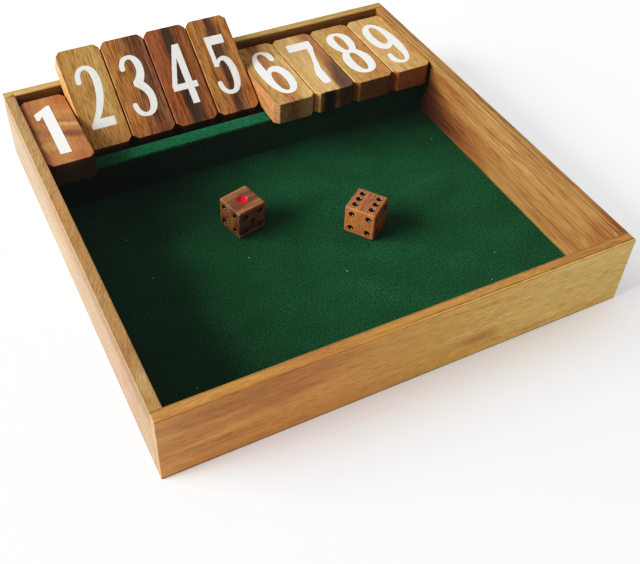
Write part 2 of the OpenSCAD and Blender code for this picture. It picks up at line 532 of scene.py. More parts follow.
# %% [markdown]
# A board sawn from a log cuts through its yearly rings, so its bands follow the distance to the pith, the
# middle of the log, which lies outside the board. Noise on that distance gives bands that run along the
# board and drift. Over them lie a few broad patches that stand out on the real boards, such as the khaki
# end of the front wall. That wall is also faced with a thin layer of other wood, and its glue line shows as
# a fine dark line on the right half of the top edge. On the right wall, the dark patches at the back and low
# down are partly the board's own colour and partly painted shade from the tiles and the back wall.

# %% Choose each wall's colours
SIENNA = (0.38, 0.150, 0.046)
AMBER = (0.45, 0.195, 0.060)
GOLD = (0.59, 0.335, 0.086)
KHAKI = (0.68, 0.430, 0.135)
RUSSET = (0.28, 0.112, 0.036)
BARK = (0.13, 0.056, 0.024)
TOFFEE = (0.46, 0.215, 0.062)
FAWN = (0.32, 0.168, 0.064)
CINNAMON = (0.29, 0.135, 0.050)
HAZEL = (0.31, 0.170, 0.058)
CORE_TINT = (0.72, 0.76, 0.76)
WALL_ENDS = (0.8, 0.8, 0.9)
PLAIN_OUTSIDE = [(0, UNTINTED), (42, UNTINTED)]

# Bands: the darkest, the middle and the palest colour. Grain: streaks, lines, pores at the near or left end
# of the wall and at the other end, how far the fibres wander, and how much longer they are than usual.
# Slant: turns of the grain about the board's three axes. Outer: tints for the outer face at heights in mm,
# which paint shade and light: on the front wall a painted contact shadow at the foot, painted light low down
# that fades upwards and painted shade on the top edge, and on the left wall a cooler tint low down and
# painted shade over the upper part. Inner: painted shade on the inner face. Ends: a tint for the end grain.
# Patches: mm up from the table and mm along the wall, then as the grain's cell says.
WALL_LOOKS = {
    "front_wall": {
        "pith": (-50, 70), "seed": 3.1,
        "bands": (AMBER, (0.56, 0.245, 0.072), (0.60, 0.285, 0.082)),
        "grain": (0.22, 0.25, 0.2, 0.4, 1.8, 1.0), "slant": (0, 0, 0.02),
        "outer": [
            (0.5, (0.5, 0.55, 0.55)), (1.5, UNTINTED), (14, (0.92, 0.92, 0.92)), (28, (0.88, 0.88, 0.88)),
            (41.3, (0.90, 0.92, 0.92)), (41.65, (0.64, 0.60, 0.56)), (41.93, (0.68, 0.64, 0.58)),
            (42, (0.82, 0.76, 0.66)),
        ],
        "inner": (0.66, 0.66, 0.66), "ends": (0.62, 0.80, 1.1), "faced": True,
        "patches": [
            (20, 40, 70, 80, 0.0, GOLD, 0.8),
            (24, 125, 70, 120, 0.0, KHAKI, 1.0),
            (36, -85, 9, 62, 0.0, SIENNA, 0.9),
            (25, -72, 5, 36, 0.0, SIENNA, 0.8),
            (12, -100, 5, 30, 0.0, SIENNA, 0.4),
            (24, -112, 9, 24, 0.0, SIENNA, 0.6),
            (12, 36, 4.5, 16, 0.3, TOFFEE, 0.9),
            (3, 112, 4, 12, 0.0, GOLD, 0.6),
        ],
    },
    "back_wall": {
        "pith": (-40, 60), "seed": 5.7,
        "bands": ((0.39, 0.225, 0.078), (0.45, 0.276, 0.096), (0.50, 0.315, 0.110)),
        "grain": (0.35, 0.4, 0.3, 0.3, 1.8, 1.0), "slant": (0, 0, 0), "outer": PLAIN_OUTSIDE,
        "inner": (0.68, 0.58, 0.58), "ends": WALL_ENDS, "faced": False, "patches": [],
    },
    "left_wall": {
        "pith": (80, 40), "seed": 7.3,
        "bands": ((0.35, 0.195, 0.086), (0.37, 0.210, 0.088), (0.40, 0.235, 0.100)),
        "grain": (0.35, 0.3, 0.2, 0.5, 1.8, 1.0), "slant": (0, 0.42, 0.12),
        "outer": [
            (28, (0.72, 0.84, 1.1)), (37, (0.47, 0.47, 0.39)), (41, (0.6, 0.6, 0.5)), (41.9, (0.8, 0.8, 0.8)),
        ],
        "inner": (0.8, 0.8, 0.8), "ends": WALL_ENDS, "faced": False,
        "patches": [
            (42, -60, 90, 110, 0.0, FAWN, 0.9),
            (42, -85, 60, 22, 0.3, CINNAMON, 0.7),
            (42, -114, 60, 14, 0.0, HAZEL, 0.9),
            (42, 15, 60, 14, 0.3, AMBER, 0.3),
        ],
    },
    "right_wall": {
        "pith": (-30, -60), "seed": 9.9,
        "bands": ((0.33, 0.155, 0.050), (0.37, 0.190, 0.063), (0.41, 0.225, 0.077)),
        "grain": (0.3, 0.8, 0.7, 0.6, 0.6, 2.2), "slant": (0, 0, 0), "outer": PLAIN_OUTSIDE,
        "inner": (0.68, 0.66, 0.66), "ends": WALL_ENDS, "faced": False,
        "patches": [
            # The first two patches, dark at the back and low down, are partly the board's own colour and
            # partly painted shade.
            (12, 62, 30, 95, 0.0, RUSSET, 0.9),
            (10, 66, 34, 56, 0.8, BARK, 0.95),
            (28, -112, 20, 14, 0.0, RUSSET, 0.7),
        ],
    },
}
print("patches on the walls:", {node: len(look["patches"]) for node, look in WALL_LOOKS.items()})

# %% Give the walls their wood
# All in mm. The pairs are where a change begins and ends: the glue line's start along the wall, the painted
# shade of the inner face in depth, and the pores between the two ends of the wall.
BAND_LENGTH = 95
BAND_WIDTH = 7
FACING_T = 1.3
GLUE_W = 0.45
TINT_EDGE = 0.1
GLUE_STARTS = (-40, 30)
INNER_SIDE = (4.6, 5.6)
NEAR_TO_FAR = (-20, 60)
SEED_STEP = 100


def faced_base(finish, core, base, along, through):
    """The core's wood under the facing's, with the glue line between them where the top shows it."""
    facing = through.step(FACING_T, FACING_T - TINT_EDGE)
    base = finish.mix(facing, finish.tinted(core, CORE_TINT), base)
    glue = through.step(FACING_T - GLUE_W, FACING_T) * through.step(FACING_T + GLUE_W, FACING_T)
    return finish.mix(glue * along.step(*GLUE_STARTS), base, BARK)


def wall_finish(name, look):
    """A wall's wood, from its bands and patches."""
    finish = Finish(name)
    place = finish.board()
    along, across, through = finish.split(place)
    rings = finish.distance(finish.joined(0, across, through), (0, *look["pith"]))
    band_place = finish.joined(along * (1 / BAND_LENGTH), rings * (1 / BAND_WIDTH), look["seed"])
    band = finish.noise(band_place, 3)
    dark, middle, pale = look["bands"]
    core = finish.ramp(band, (0.30, dark), (0.50, middle), (0.68, pale))
    base = patched(finish, core, place, (band - 0.5) * 1.6, look["patches"])
    if look["faced"]:
        base = faced_base(finish, core, base, along, through)
    # Painted shade on the inner face.
    base = finish.mix(through.step(*INNER_SIDE), base, finish.tinted(base, look["inner"]))
    # Painted shade and light on the outer face, by height.
    stops = ((height * MM / wall_h, tint) for height, tint in look["outer"])
    outer = finish.ramp(across * (MM / wall_h), *stops)
    skin = through.step(FACING_T, FACING_T - TINT_EDGE if look["faced"] else TINT_EDGE)
    base = finish.mix(skin, base, finish.tinted(base, outer))
    streaks, lines, near_pores, far_pores, reach, longer = look["grain"]
    sockets = {
        "Vector": place,
        "Location": (look["seed"] * SEED_STEP, 0, 0),
        "Rotation": look["slant"],
        "Scale": (1 / longer, 1, 1),
    }
    grain_place = finish.node("ShaderNodeMapping", {}, sockets)
    pores = along.step(*NEAR_TO_FAR) * (far_pores - near_pores) + near_pores
    cuts = (look["ends"], look["ends"])
    return lay_grain(finish, grain_place, base, streaks, lines, pores, cuts, reach=reach)


def wall_place(runs_across, outside):
    """Turns a point into its place in a wall: along it, up it, and in from its outer face."""
    if runs_across:
        return lambda p: (p.x, p.z, outside - abs(p.y))
    return lambda p: (p.y, p.z, outside - abs(p.x))


for node, piece in walls.items():
    runs_across = node in ("front_wall", "back_wall")
    outside = max(abs(c.y if runs_across else c.x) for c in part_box(node))
    grain = Vector((1, 0, 0)) if runs_across else Vector((0, 1, 0))
    mark_board(piece, wall_place(runs_across, outside), grain)
    wear(piece, wall_finish(node + "_wood", WALL_LOOKS[node]))
    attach(piece, "tray")
    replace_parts(piece, node)
print("walls dressed:", sorted(walls))

# %% [markdown]
# ## The felt
# Short dense felt lies glued on the floor, and a second strip covers the front and the top of the rail.
# Felt is a mat of fibres, and from a step away it reads as a deep green with a fine grain of lighter and
# darker tufts, some slow mottling where it was brushed, and a few pale specks of lint. It could be grown as
# hair, but its pile is far shorter than a pixel, so a low bump and a sheen do the same work. The floor's
# sheet is a thin slab that sinks by up to a tenth of a millimetre here and there, and the rail's strip is
# folded down over its front with a rounded fold.

# %% Model the felt of the floor and of the rail
FELT_STEP = 4 * MM
FOLD_ROUND = 1.1
TOLERANCE = MM / 100
FELT_DIP = 0.1 * MM
unevenness = bpy.data.textures.new("felt_unevenness", "CLOUDS")
unevenness.noise_scale = 18 * MM


def uneven(piece):
    """Lets the sheet sink a little, here more and there less. It never rises."""
    alone(piece)
    dip = piece.modifiers.new("dip", "DISPLACE")
    dip.texture = unevenness
    dip.texture_coords = "LOCAL"
    dip.direction = "Z"
    dip.mid_level = 1
    dip.strength = FELT_DIP
    bpy.ops.object.modifier_apply(modifier=dip.name)
    return piece


def sheet_of(name, low, high, step):
    """A flat grid of about square meshes between two corners at the height of the upper one."""
    columns, rows = (max(1, round((high[i] - low[i]) / step)) for i in (0, 1))
    bpy.ops.object.select_all(action="DESELECT")
    middle = ((low.x + high.x) / 2, (low.y + high.y) / 2, high.z)
    bpy.ops.mesh.primitive_grid_add(x_subdivisions=columns, y_subdivisions=rows, size=1, location=middle)
    bpy.context.active_object.scale = (high.x - low.x, high.y - low.y, 1)
    return newest(name)


def thicken(piece, thickness):
    """Gives the sheet its thickness, below its upper side."""
    alone(piece)
    shell = piece.modifiers.new("thickness", "SOLIDIFY")
    shell.thickness = thickness
    shell.offset = -1
    shell.use_even_offset = True
    bpy.ops.object.modifier_apply(modifier=shell.name)
    return piece


felt_t = felt_high.z - felt_low.z
floor_cloth = smooth(thicken(uneven(sheet_of("floor_cloth", felt_low, felt_high, FELT_STEP)), felt_t))
rail_low, rail_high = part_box("rail_felt")


def on_fold(middle, direction):
    """True for the edges where the strip folds over the upper front corner of the rail."""
    at_front = abs(middle.y - rail_low.y) < TOLERANCE
    at_top = abs(middle.z - rail_high.z) < TOLERANCE
    return abs(direction.x) > 0.9 and at_front and at_top


rail_cloth = sheet_of("rail_cloth", rail_low, rail_high, FELT_STEP)
mesh = edit(rail_cloth, "EDGE")
for edge in mesh.edges:
    edge.select_set(all(abs(corner.co.y - rail_low.y) < TOLERANCE for corner in edge.verts))
bpy.ops.mesh.extrude_edges_move(TRANSFORM_OT_translate={"value": (0, 0, rail_low.z - rail_high.z)})
close(rail_cloth)
soften(rail_cloth, FOLD_ROUND * felt_t, 4, on_fold)
edit(rail_cloth, "FACE")
bpy.ops.mesh.select_all(action="SELECT")
bpy.ops.mesh.normals_make_consistent(inside=False)
close(rail_cloth)
smooth(thicken(rail_cloth, felt_t))
print("felt:", len(floor_cloth.data.polygons), "and", len(rail_cloth.data.polygons), "faces")

# %% Give both sheets their green
DEEP_GREEN = (0.008, 0.037, 0.018)
FELT_GREEN = (0.018, 0.078, 0.037)
PALE_GREEN = (0.038, 0.150, 0.078)
LINT = (0.22, 0.34, 0.28)
FLOOR_SHADE_TINT = (0.62, 0.62, 0.62)
FLOOR_SHADE_MIDDLE = (-52, 38, 0)
FLOOR_SHADE_REACH = (60, 50, 50)
SUNLIT = (1.05, 1.38, 1.40)
SHADED_LEFT = (0.70, 0.45, 0.55)
SHADED_RIGHT = (1.0, 1.2, 1.2)
SHEEN_GREEN = (0.4, 1.0, 0.7)
BRUSHED_SHARE = 0.22


def felt_finish(name, folded=False):
    """The green of a sheet of felt.

    Where it is folded over the rail, its top has painted light and its front painted shade, deeper towards
    the left. On the floor a broad painted shade lies in front of the turned tiles."""
    finish = Finish(name)
    place = finish.object_place()
    tuft = finish.noise(finish.stretched(place, 1.1, 1.1, 1.1), 4, 0.7)
    brushed = finish.noise(finish.stretched(place, 26, 18, 22), 3)
    shade = tuft + brushed * BRUSHED_SHARE - BRUSHED_SHARE / 2
    green = finish.ramp(shade, (0.25, DEEP_GREEN), (0.50, FELT_GREEN), (0.78, PALE_GREEN))
    if folded:
        axes = finish.split(place)
        across, height = axes[0], axes[2]
        # Painted light on the rail's top, and painted shade on its front, deeper towards the left.
        front = finish.mix(across.step(-120, 100), SHADED_LEFT, SHADED_RIGHT)
        on_top = height.step(rail_high.z / MM - 2, rail_high.z / MM - 1)
        green = finish.tinted(green, finish.mix(on_top, front, SUNLIT))
    else:
        # Painted shade on the floor felt in front of the turned tiles.
        spot = finish.moved(place, [-c for c in FLOOR_SHADE_MIDDLE])
        away = finish.distance(finish.stretched(spot, *FLOOR_SHADE_REACH), (0, 0, 0))
        green = finish.mix(away.step(1.0, 0.2), green, finish.tinted(green, FLOOR_SHADE_TINT))
    speck = finish.cells(finish.stretched(place, 17, 17, 17)).step(0.035, 0.02)
    finish.set(
        Base_Color=finish.mix(speck * 0.8, green, LINT),
        Roughness=0.95,
        Specular_IOR_Level=0.05,
        Sheen_Weight=0.03,
        Sheen_Roughness=0.5,
        Sheen_Tint=solid(SHEEN_GREEN),
        Normal=finish.bump(tuft, 0.5 * MM),
    )
    return finish


for piece, node in ((floor_cloth, "floor_felt"), (rail_cloth, "rail_felt")):
    wear(piece, felt_finish(node + "_pile", folded=piece is rail_cloth))
    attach(piece, "tray")
    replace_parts(piece, node)

# %% [markdown]
# ## The number tiles
# Nine equal blocks of wood turn on one rod. One tile is modelled at the origin, open and level, with the
# rod's axis through the origin. Its four corners are cut off at 45 degrees and rounded by sanding, all its
# edges are softened, and the hole for the rod is drilled. The nine tiles are copies of it, each moved to
# its own place on the rod, and those that are turned over are turned about the rod first.

# %% Model one tile and set out the row
CORNER_CUT = 2.8 * MM
CORNER_ROUND = 0.6 * MM
TILE_SOFT = 0.55 * MM
BORE_PLAY = 0.08 * MM
tile_low = Vector((-tile_w / 2, tile_tail - tile_l, -tile_t / 2))
tile_high = Vector((tile_w / 2, tile_tail, tile_t / 2))


def upright(middle, direction):
    return abs(direction.z) > 0.9


def on_flat_faces(middle, direction):
    return abs(abs(middle.z) - tile_t / 2) < TOLERANCE


pattern_tile = block("pattern_tile", tile_low, tile_high)
soften(pattern_tile, CORNER_CUT, 1, upright)
soften(pattern_tile, CORNER_ROUND, 3, upright)
soften(pattern_tile, TILE_SOFT, 3, on_flat_faces)
bore = rod_hole("bore", BORE_PLAY, tile_w + 2 * CLEAR)
put(bore, Matrix.Translation(-rod_axis))
smooth(cut_away(pattern_tile, bore))


def tile_place(number):
    """The matrix that brings the pattern tile, or what is painted on it, to a number's place."""
    at_rod = Matrix.Translation((box_middle(f"tile_{number}").x, rod_axis.y, rod_axis.z))
    return at_rod @ Matrix.Rotation(-turned_over if starts_turned[number] else 0, 4, "X")


def shown_place(number):
    """Turns a point of the pattern tile into its place in the board, seen from the face that shows first."""
    if starts_turned[number]:
        return lambda p: (p.y - tile_low.y, p.x - tile_low.x, p.z - tile_low.z)
    return lambda p: (tile_high.y - p.y, p.x - tile_low.x, tile_high.z - p.z)


tiles = {}
for number in tile_numbers:
    tiles[number] = copy_of(pattern_tile, f"number_tile_{number}")
    mark_board(tiles[number], shown_place(number), Vector((0, 1, 0)))
    put(tiles[number], tile_place(number))
bpy.data.objects.remove(pattern_tile)
print("tiles:", len(tiles), "of", len(tiles[1].data.polygons), "faces")

# %% [markdown]
# The nine tiles are cut from different boards, and each is easy to tell from its neighbours: one is reddish
# with bands that cross it, some are plain gold, and some have a nearly black ribbon of heartwood. So each
# tile has its own ramp of colours across its width, which leans a little as the board does, and a few soft
# patches laid over it.

# %% Choose each tile's colours
SAND = (0.60, 0.365, 0.150)
STRAW = (0.53, 0.315, 0.112)
TAN = (0.46, 0.245, 0.080)
OCHRE = (0.42, 0.19, 0.058)
CHESTNUT = (0.36, 0.150, 0.062)
RUST = (0.29, 0.102, 0.038)
COFFEE = (0.25, 0.115, 0.055)
UMBER = (0.17, 0.075, 0.036)
DUSK = (0.11, 0.056, 0.030)
SOOT = (0.070, 0.040, 0.026)
MAHOGANY = (0.24, 0.088, 0.034)
BRICK = (0.31, 0.130, 0.045)
WALNUT = (0.12, 0.070, 0.044)
CHAR = (0.035, 0.030, 0.022)
# The turned tiles' cuts: their ends are partly the end grain's own darker colour and partly painted shade,
# and their cut corners are nearly black painted shade.
TURNED_CUTS_SHADE = ((0.58, 0.56, 0.56), (0.16, 0.13, 0.13))

# Ramp: mm from the left edge and colour. Lean: mm to the left per mm from the far end. Grain: streaks, lines,
# pores. Cuts: tints for the square ends and for the cut corners, which mix the end grain's own darker colour
# with painted shade, and on the cut corners of tiles 6 and 7 lift them with painted light. Patches: mm from
# the left edge and from the far end, then as on the walls.
TILE_LOOKS = {
    1: {
        "ramp": [(2, (0.34, 0.135, 0.056)), (13, (0.39, 0.170, 0.056)), (24, (0.34, 0.130, 0.050))],
        "lean": 0.0, "grain": (0.25, 0.3, 0.3), "cuts": ((0.30, 0.42, 0.55), (0.35, 0.35, 0.40)),
        "patches": [
            (22, 6, 8, 6, 0.3, RUST, 0.7),
            (20, 18, 12, 4, 0.3, OCHRE, 0.7),
            (16, 25, 13, 2.6, 0.35, COFFEE, 1.0),
            (21, 30, 12, 2.8, 0.4, TAN, 1.0),
            (4, 32, 8, 5, 0.4, COFFEE, 0.9),
            (20, 39, 14, 4.5, 0.35, UMBER, 1.0),
            (5, 46, 7, 5, 0.2, TAN, 0.7),
            (20, 60, 10, 6, 0.2, RUST, 0.8),
        ],
    },
    2: {
        "ramp": [(0, OCHRE), (5, TAN), (14, TAN), (20, STRAW), (25, TAN)],
        "lean": 0.02, "grain": (0.3, 0.6, 0.8), "cuts": TURNED_CUTS_SHADE,
        "patches": [(22, 60, 12, 18, 0.3, OCHRE, 0.8)],
    },
    3: {
        "ramp": [(0, OCHRE), (10, OCHRE), (15.5, COFFEE), (18, UMBER), (22, UMBER), (25, COFFEE)],
        "lean": 0.02, "grain": (0.6, 1.0, 0.8), "cuts": TURNED_CUTS_SHADE,
        "patches": [(10, 60, 16, 8, 0.0, RUST, 0.5)],
    },
    4: {
        "ramp": [
            (0, RUST), (9, RUST), (11.5, SOOT), (15, SOOT), (18, UMBER), (21, MAHOGANY), (25, BRICK),
        ],
        "lean": 0.0, "grain": (0.7, 0.9, 0.4), "cuts": TURNED_CUTS_SHADE, "patches": [],
    },
    5: {
        "ramp": [
            (0, OCHRE), (6, OCHRE), (10, CHESTNUT), (12, DUSK), (14.5, DUSK), (18, COFFEE), (21, OCHRE),
            (25, OCHRE),
        ],
        "lean": 0.0, "grain": (0.6, 1.0, 0.7), "cuts": TURNED_CUTS_SHADE, "patches": [],
    },
    6: {
        "ramp": [(0, TAN), (6, TAN), (13, CHESTNUT), (19, STRAW), (25, SAND)],
        "lean": 0.0, "grain": (0.5, 0.6, 0.7), "cuts": ((0.58, 0.75, 1.06), (0.92, 0.92, 1.25)),
        "patches": [(0, 32, 1.5, 60, 0.0, CHESTNUT, 0.9)],
    },
    7: {
        "ramp": [(0, STRAW), (12, SAND), (17, TAN), (20, CHESTNUT), (25, CHESTNUT)],
        "lean": -0.02, "grain": (0.4, 0.4, 0.3), "cuts": ((0.70, 0.68, 0.66), (1.05, 0.95, 1.05)),
        "patches": [
            (23, 54, 6, 32, -0.5, WALNUT, 1.0),
            (18, 60, 4, 24, -0.6, SOOT, 0.8),
            (9, 63.3, 7.5, 1.2, 0.0, CHAR, 1.0),
        ],
    },
    8: {
        "ramp": [
            (0, (0.47, 0.280, 0.090)), (8, (0.46, 0.260, 0.085)), (15, (0.45, 0.215, 0.075)),
            (25, (0.45, 0.205, 0.068)),
        ],
        "lean": 0.0, "grain": (0.4, 0.5, 0.8), "cuts": ((0.38, 0.44, 0.60), (0.62, 0.47, 0.40)),
        "patches": [(16, 62, 14, 9, 0.0, OCHRE, 0.8)],
    },
    9: {
        "ramp": [(0, (0.58, 0.335, 0.135)), (10, (0.56, 0.320, 0.120)), (25, (0.54, 0.285, 0.095))],
        "lean": 0.0, "grain": (0.3, 0.5, 0.6), "cuts": ((0.51, 0.40, 0.50), (0.58, 0.36, 0.26)),
        "patches": [],
    },
}
print("tiles with patches:", [n for n in tile_numbers if TILE_LOOKS[n]["patches"]])

# %% Give the tiles their wood
TREE_STEP = (71, 13, 5)
RIBBON_WANDER = 6
PATCH_WANDER = 0.12


def cut_place(finish, number):
    """Where in the tree a tile's wood grew. The paint on it reads the same place."""
    return finish.moved(finish.board(), [number * step for step in TREE_STEP])


def tile_finish(number):
    """The wood of one tile, from its ramp and its patches."""
    look = TILE_LOOKS[number]
    finish = Finish(f"tile_{number}_wood")
    place = finish.board()
    along, across = finish.split(place)[:2]
    cut_from = cut_place(finish, number)
    wander = (finish.noise(finish.stretched(cut_from, 30, 5, 9), 3) - 0.5) * RIBBON_WANDER
    ribbon = (across + along * look["lean"] + wander) * (MM / tile_w)
    base = finish.ramp(ribbon, *((x * MM / tile_w, colour) for x, colour in look["ramp"]))
    base = patched(finish, base, place, wander * PATCH_WANDER, look["patches"])
    streaks, lines, pores = look["grain"]
    return lay_grain(finish, cut_from, base, streaks, lines, pores, look["cuts"])


for number, piece in tiles.items():
    wear(piece, tile_finish(number))
    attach(piece, f"tile_{number}")
    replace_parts(piece, f"tile_{number}")

# %% [markdown]
# ## The painted numbers
# The numbers are printed in thick white paint with narrow, tall figures. The sides of their bowls are
# heavy, and their tops and bottoms are thin. A font would bring its own shapes, so each figure is drawn as
# an outline of a few points. A point with a direction is a smooth one, and its handles reach 0.6 of the way
# to its neighbours, measured along that direction. A point without one is a corner. The 9 is the 6 turned
# round. The outline is filled and made 0.12 mm thick, half of which sinks into the wood.

# %% Draw the figures
HANDLE_REACH = 0.6
PAINT_T = 0.12 * MM
FIGURE_TOP, FIGURE_BOTTOM = 8.2, 55.0
FIGURE_MIDDLE = 13.2
NINE_FROM_SIX = (25.7, 62.9)

# Each contour runs round once, in mm from the tile's left edge and down from the figure's end of the tile.
FIGURES = {
    1: [[(13.9, 8.7), (15.1, 9.2), (15.0, 54.4), (9.0, 54.4), (9.0, 17.2), (6.6, 20.7), (5.3, 20.6),
         (4.9, 14.6)]],
    2: [[(4.8, 19.4, 0, -1), (13.1, 8.2, 1, 0), (21.4, 20.2, 0, 1), (11.9, 48.3), (21.6, 48.3), (21.6, 54.8),
         (4.8, 54.8), (4.8, 51.9), (16.1, 20.2, 0, -1), (12.8, 11.2, -1, 0), (8.5, 19.4, 0, 1),
         (6.65, 21.3, -1, 0)]],
    3: [[(4.9, 17.4, 0, -1), (13.0, 8.2, 1, 0), (20.9, 18.6, 0, 1), (17.6, 29.9), (22.1, 42.4, 0, 1),
         (13.0, 55.0, -1, 0), (4.6, 45.4, 0, -1), (6.4, 43.5, 1, 0), (8.2, 45.4, 0, 1), (12.7, 51.9, 1, 0),
         (17.0, 42.4, 0, -1), (10.6, 31.7), (10.6, 28.4), (15.8, 18.6, 0, -1), (12.8, 11.2, -1, 0),
         (8.5, 17.4, 0, 1), (6.7, 19.3, -1, 0)]],
    4: [[(14.3, 8.4), (19.2, 8.4), (19.2, 38.2), (22.4, 38.2), (22.4, 42.9), (19.2, 42.9), (19.2, 54.6),
         (14.3, 54.6), (14.3, 42.9), (4.2, 42.9), (4.2, 38.6)],
        [(14.3, 18.6), (8.0, 38.2), (14.3, 38.2)]],
    5: [[(7.0, 8.8), (20.6, 8.8), (20.6, 15.6), (10.2, 15.6), (10.2, 27.6), (14.9, 25.4, 1, 0),
         (22.1, 39.6, 0, 1), (13.0, 55.0, -1, 0), (4.6, 45.4, 0, -1), (6.4, 43.5, 1, 0), (8.2, 45.4, 0, 1),
         (12.7, 51.9, 1, 0), (17.0, 39.9, 0, -1), (13.6, 28.6, -1, 0), (10.2, 32.6), (7.0, 32.6)]],
    6: [[(13.8, 8.2, 1, 0), (20.2, 15.6, 0, 1), (18.3, 20.4, -1, 0), (16.6, 17.6, 0, -1), (13.3, 10.7, -1, 0),
         (10.0, 19.5, 0, 1), (10.0, 29.2), (15.4, 25.5, 1, 0), (22.1, 39.4, 0, 1), (13.6, 54.8, -1, 0),
         (4.6, 31.0, 0, -1)],
        [(13.7, 30.7, 1, 0), (17.1, 41.0, 0, 1), (13.6, 51.5, -1, 0), (10.0, 41.0, 0, -1)]],
    7: [[(6.0, 9.0), (21.6, 9.0), (20.9, 16.6), (16.4, 32.3, -1, 5), (14.8, 46.0, 0, 1), (14.6, 51.8, 0, 1),
         (11.9, 54.7, -1, 0), (9.2, 51.5, 0, -1), (12.4, 35.0, 1, -2.8), (16.8, 16.7), (4.75, 16.7)]],
    8: [[(13.1, 8.2, 1, 0), (20.8, 18.0, 0, 1), (18.0, 29.6), (22.2, 41.6, 0, 1), (13.2, 55.0, -1, 0),
         (4.7, 41.6, 0, -1), (8.9, 29.6), (5.2, 18.0, 0, -1)],
        [(13.0, 11.1, 1, 0), (15.8, 18.4, 0, 1), (13.2, 28.6, -1, 0), (10.4, 18.4, 0, -1)],
        [(13.3, 31.9, 1, 0), (16.6, 41.6, 0, 1), (13.3, 51.8, -1, 0), (10.2, 41.6, 0, -1)]],
}
turn_x, turn_y = NINE_FROM_SIX
FIGURES[9] = [
    [(turn_x - x, turn_y - y, *(-part for part in way)) for x, y, *way in ring]
    for ring in FIGURES[6]
]
print("points in each figure:", {n: sum(map(len, FIGURES[n])) for n in tile_numbers})

# %% Turn the outlines into paint
def add_contour(curve, points):
    """Adds one closed outline to a curve, with y turned upwards and lengths in metres."""
    spline = curve.splines.new("BEZIER")
    spline.use_cyclic_u = True
    spline.bezier_points.add(len(points) - 1)
    for index, (x, y, *way) in enumerate(points):
        here = Vector((x, -y, 0)) * MM
        knot = spline.bezier_points[index]
        knot.handle_left_type = knot.handle_right_type = "FREE"
        knot.co = knot.handle_left = knot.handle_right = here
        if way:
            neighbours = (points[index - 1], points[(index + 1) % len(points)])
            before, after = (Vector((p[0], -p[1], 0)) * MM for p in neighbours)
            direction = Vector((way[0], -way[1], 0)).normalized()
            knot.handle_left = here - direction * HANDLE_REACH * abs((here - before).dot(direction))
            knot.handle_right = here + direction * HANDLE_REACH * abs((after - here).dot(direction))


def painted_figure(number, name):
    """A number as a thin solid, drawn flat at the origin, with x from the tile's left edge and y upwards."""
    bpy.ops.object.select_all(action="DESELECT")
    curve = bpy.data.curves.new(name, "CURVE")
    curve.dimensions = "2D"
    curve.fill_mode = "BOTH"
    curve.extrude = PAINT_T / 2
    curve.resolution_u = 10
    for points in FIGURES[number]:
        add_contour(curve, points)
    figure = bpy.data.objects.new(name, curve)
    bpy.context.scene.collection.objects.link(figure)
    alone(figure)
    bpy.ops.object.convert(target="MESH")
    figure = bpy.context.active_object
    edit(figure, "VERT")
    bpy.ops.mesh.select_all(action="SELECT")
    bpy.ops.mesh.remove_doubles(threshold=0.001 * MM)
    bpy.ops.mesh.normals_make_consistent(inside=False)
    return close(figure)


def on_tile(height):
    """Brings a flat figure, scaled to a height in mm, to the upper face of the pattern tile."""
    scale = height / (FIGURE_BOTTOM - FIGURE_TOP)
    middle_x, middle_y = FIGURE_MIDDLE * MM, -(FIGURE_TOP + FIGURE_BOTTOM) / 2 * MM
    shrink = Matrix.Diagonal((scale, scale, 1, 1)) @ Matrix.Translation((-middle_x, -middle_y, 0))
    return Matrix.Translation((middle_x - tile_w / 2, tile_tail + middle_y, tile_t / 2)) @ shrink


FRONT_HEIGHT, BACK_HEIGHT = 46.8, 39.2
turn_round = Matrix.Translation((0, (tile_low.y + tile_high.y) / 2, 0)) @ Matrix.Rotation(math.pi, 4, "X")
turn_round = turn_round @ Matrix.Translation((0, -(tile_low.y + tile_high.y) / 2, 0))
figures = {}
for number in tile_numbers:
    for side, local in (("front", on_tile(FRONT_HEIGHT)), ("back", turn_round @ on_tile(BACK_HEIGHT))):
        figure = put(painted_figure(number, f"figure_{number}_{side}"), local)
        mark_board(figure, shown_place(number), Vector((0, 1, 0)))
        figures[number, side] = put(figure, tile_place(number))
print("figures:", len(figures), "of", sum(len(f.data.polygons) for f in figures.values()), "faces in all")

# %% [markdown]
# The paint is opaque white, but it was printed straight on open-pored wood. It did not fill the deeper
# pores, so fine dashes and specks of brown show through it. The paint reads the same pore pattern as the
# tile under it, at the same place, so that the specks line up with the pores beside the figure.

# %% Give the figures their white
PAINT_WHITE = (0.87, 0.855, 0.79)
PAINT_SPECK = (0.36, 0.29, 0.22)
for number in tile_numbers:
    finish = Finish(f"white_paint_{number}")
    fibres = fibre_place(finish, cut_place(finish, number))
    pore = pore_mask(finish, fibres)
    weave = finish.noise(finish.stretched(fibres, 3, 0.6, 0.6), 3)
    speck = pore * weave.step(0.38, 0.62)
    finish.set(
        Base_Color=finish.mix(speck * 0.3, PAINT_WHITE, PAINT_SPECK),
        Roughness=weave * 0.15 + 0.45,
        Normal=finish.bump(weave * 0.3 - speck, 0.04 * MM),
    )
    for side in ("front", "back"):
        piece = wear(figures[number, side], finish)
        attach(piece, f"tile_{number}")
print("white paint on", len(tile_numbers), "tiles")

# %% [markdown]
# ## The dice
# Two wooden cubes with rounded edges and drilled pips. The left one has its one on top, a single large red
# pip, and the right one lies the other way up. One die is modelled at the origin with the one on top: a
# softened block, from which round hollows are cut. The enamel in a hollow is a separate thin piece that
# lines it to just below the rim, made from the lower slice of the same ball. Its curved wall gives each pip
# its depth and its glossy dot of light.

